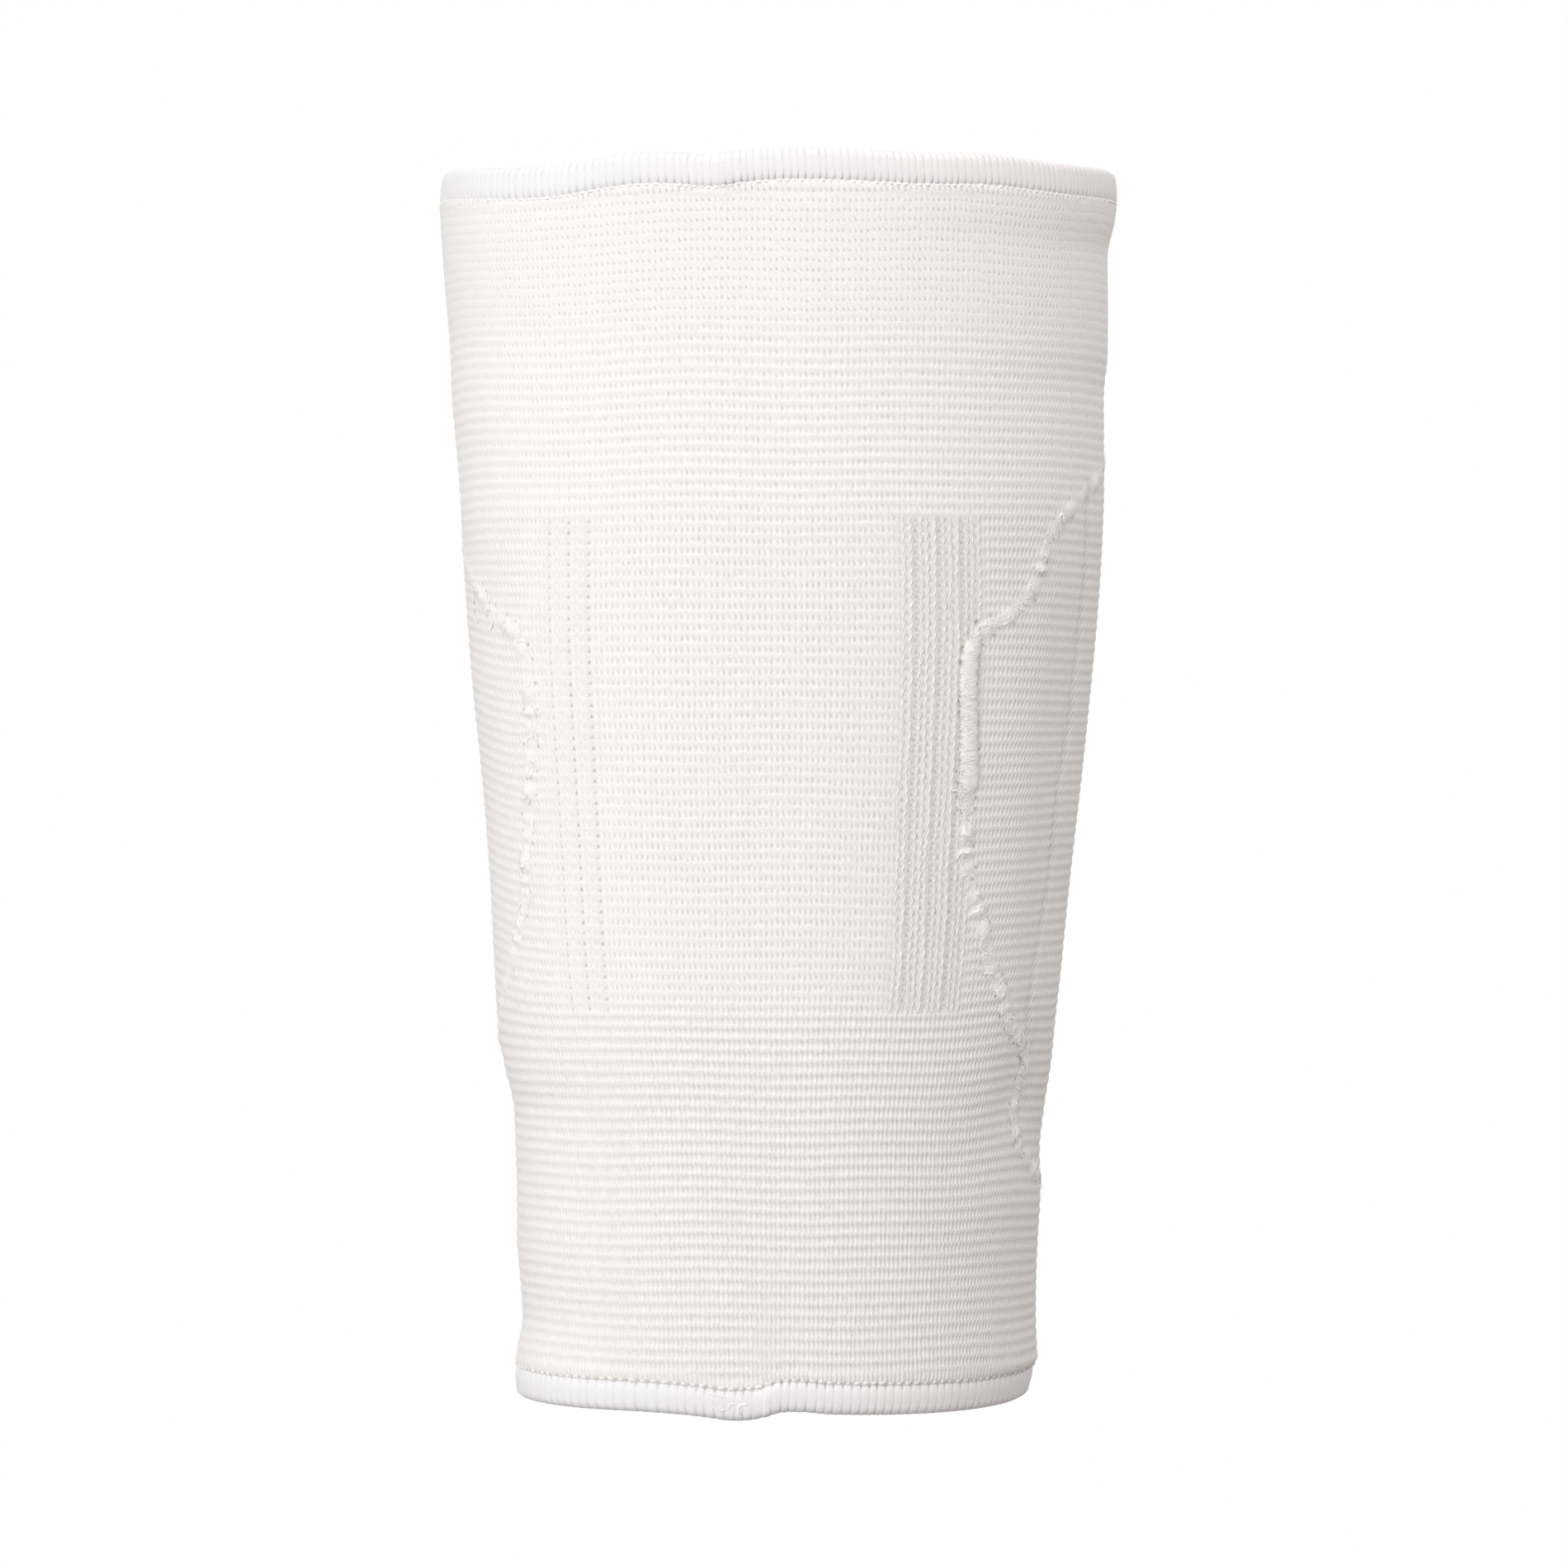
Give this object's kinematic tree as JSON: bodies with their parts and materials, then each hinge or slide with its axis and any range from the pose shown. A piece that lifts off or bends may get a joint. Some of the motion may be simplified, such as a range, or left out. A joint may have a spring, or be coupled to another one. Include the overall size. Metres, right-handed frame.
{
  "type": "volleyball knee pad",
  "caption": "Ribbed knit knee sleeve in its worn shape, open at both ends, with yarn-wrapped hems and a foam pad inside its front.",
  "frame": {"origin": "middle of the knee on the leg's axis, half way up the sleeve", "axes": "+Z along the leg towards the thigh, -Y to the back of the knee, +X to the right seen from the back"},
  "size_m": [0.1472, 0.1347, 0.2686],
  "materials": {
    "knit": "matt white ribbed elastic knit",
    "hem": "matt white wrapped yarn",
    "pad": "matt off-white knit-lined foam"
  },
  "bodies": {
    "root": {"knit_sleeve": "knit", "top_hem": "hem", "bottom_hem": "hem", "knee_pad": "pad"}
  },
  "joints": []
}
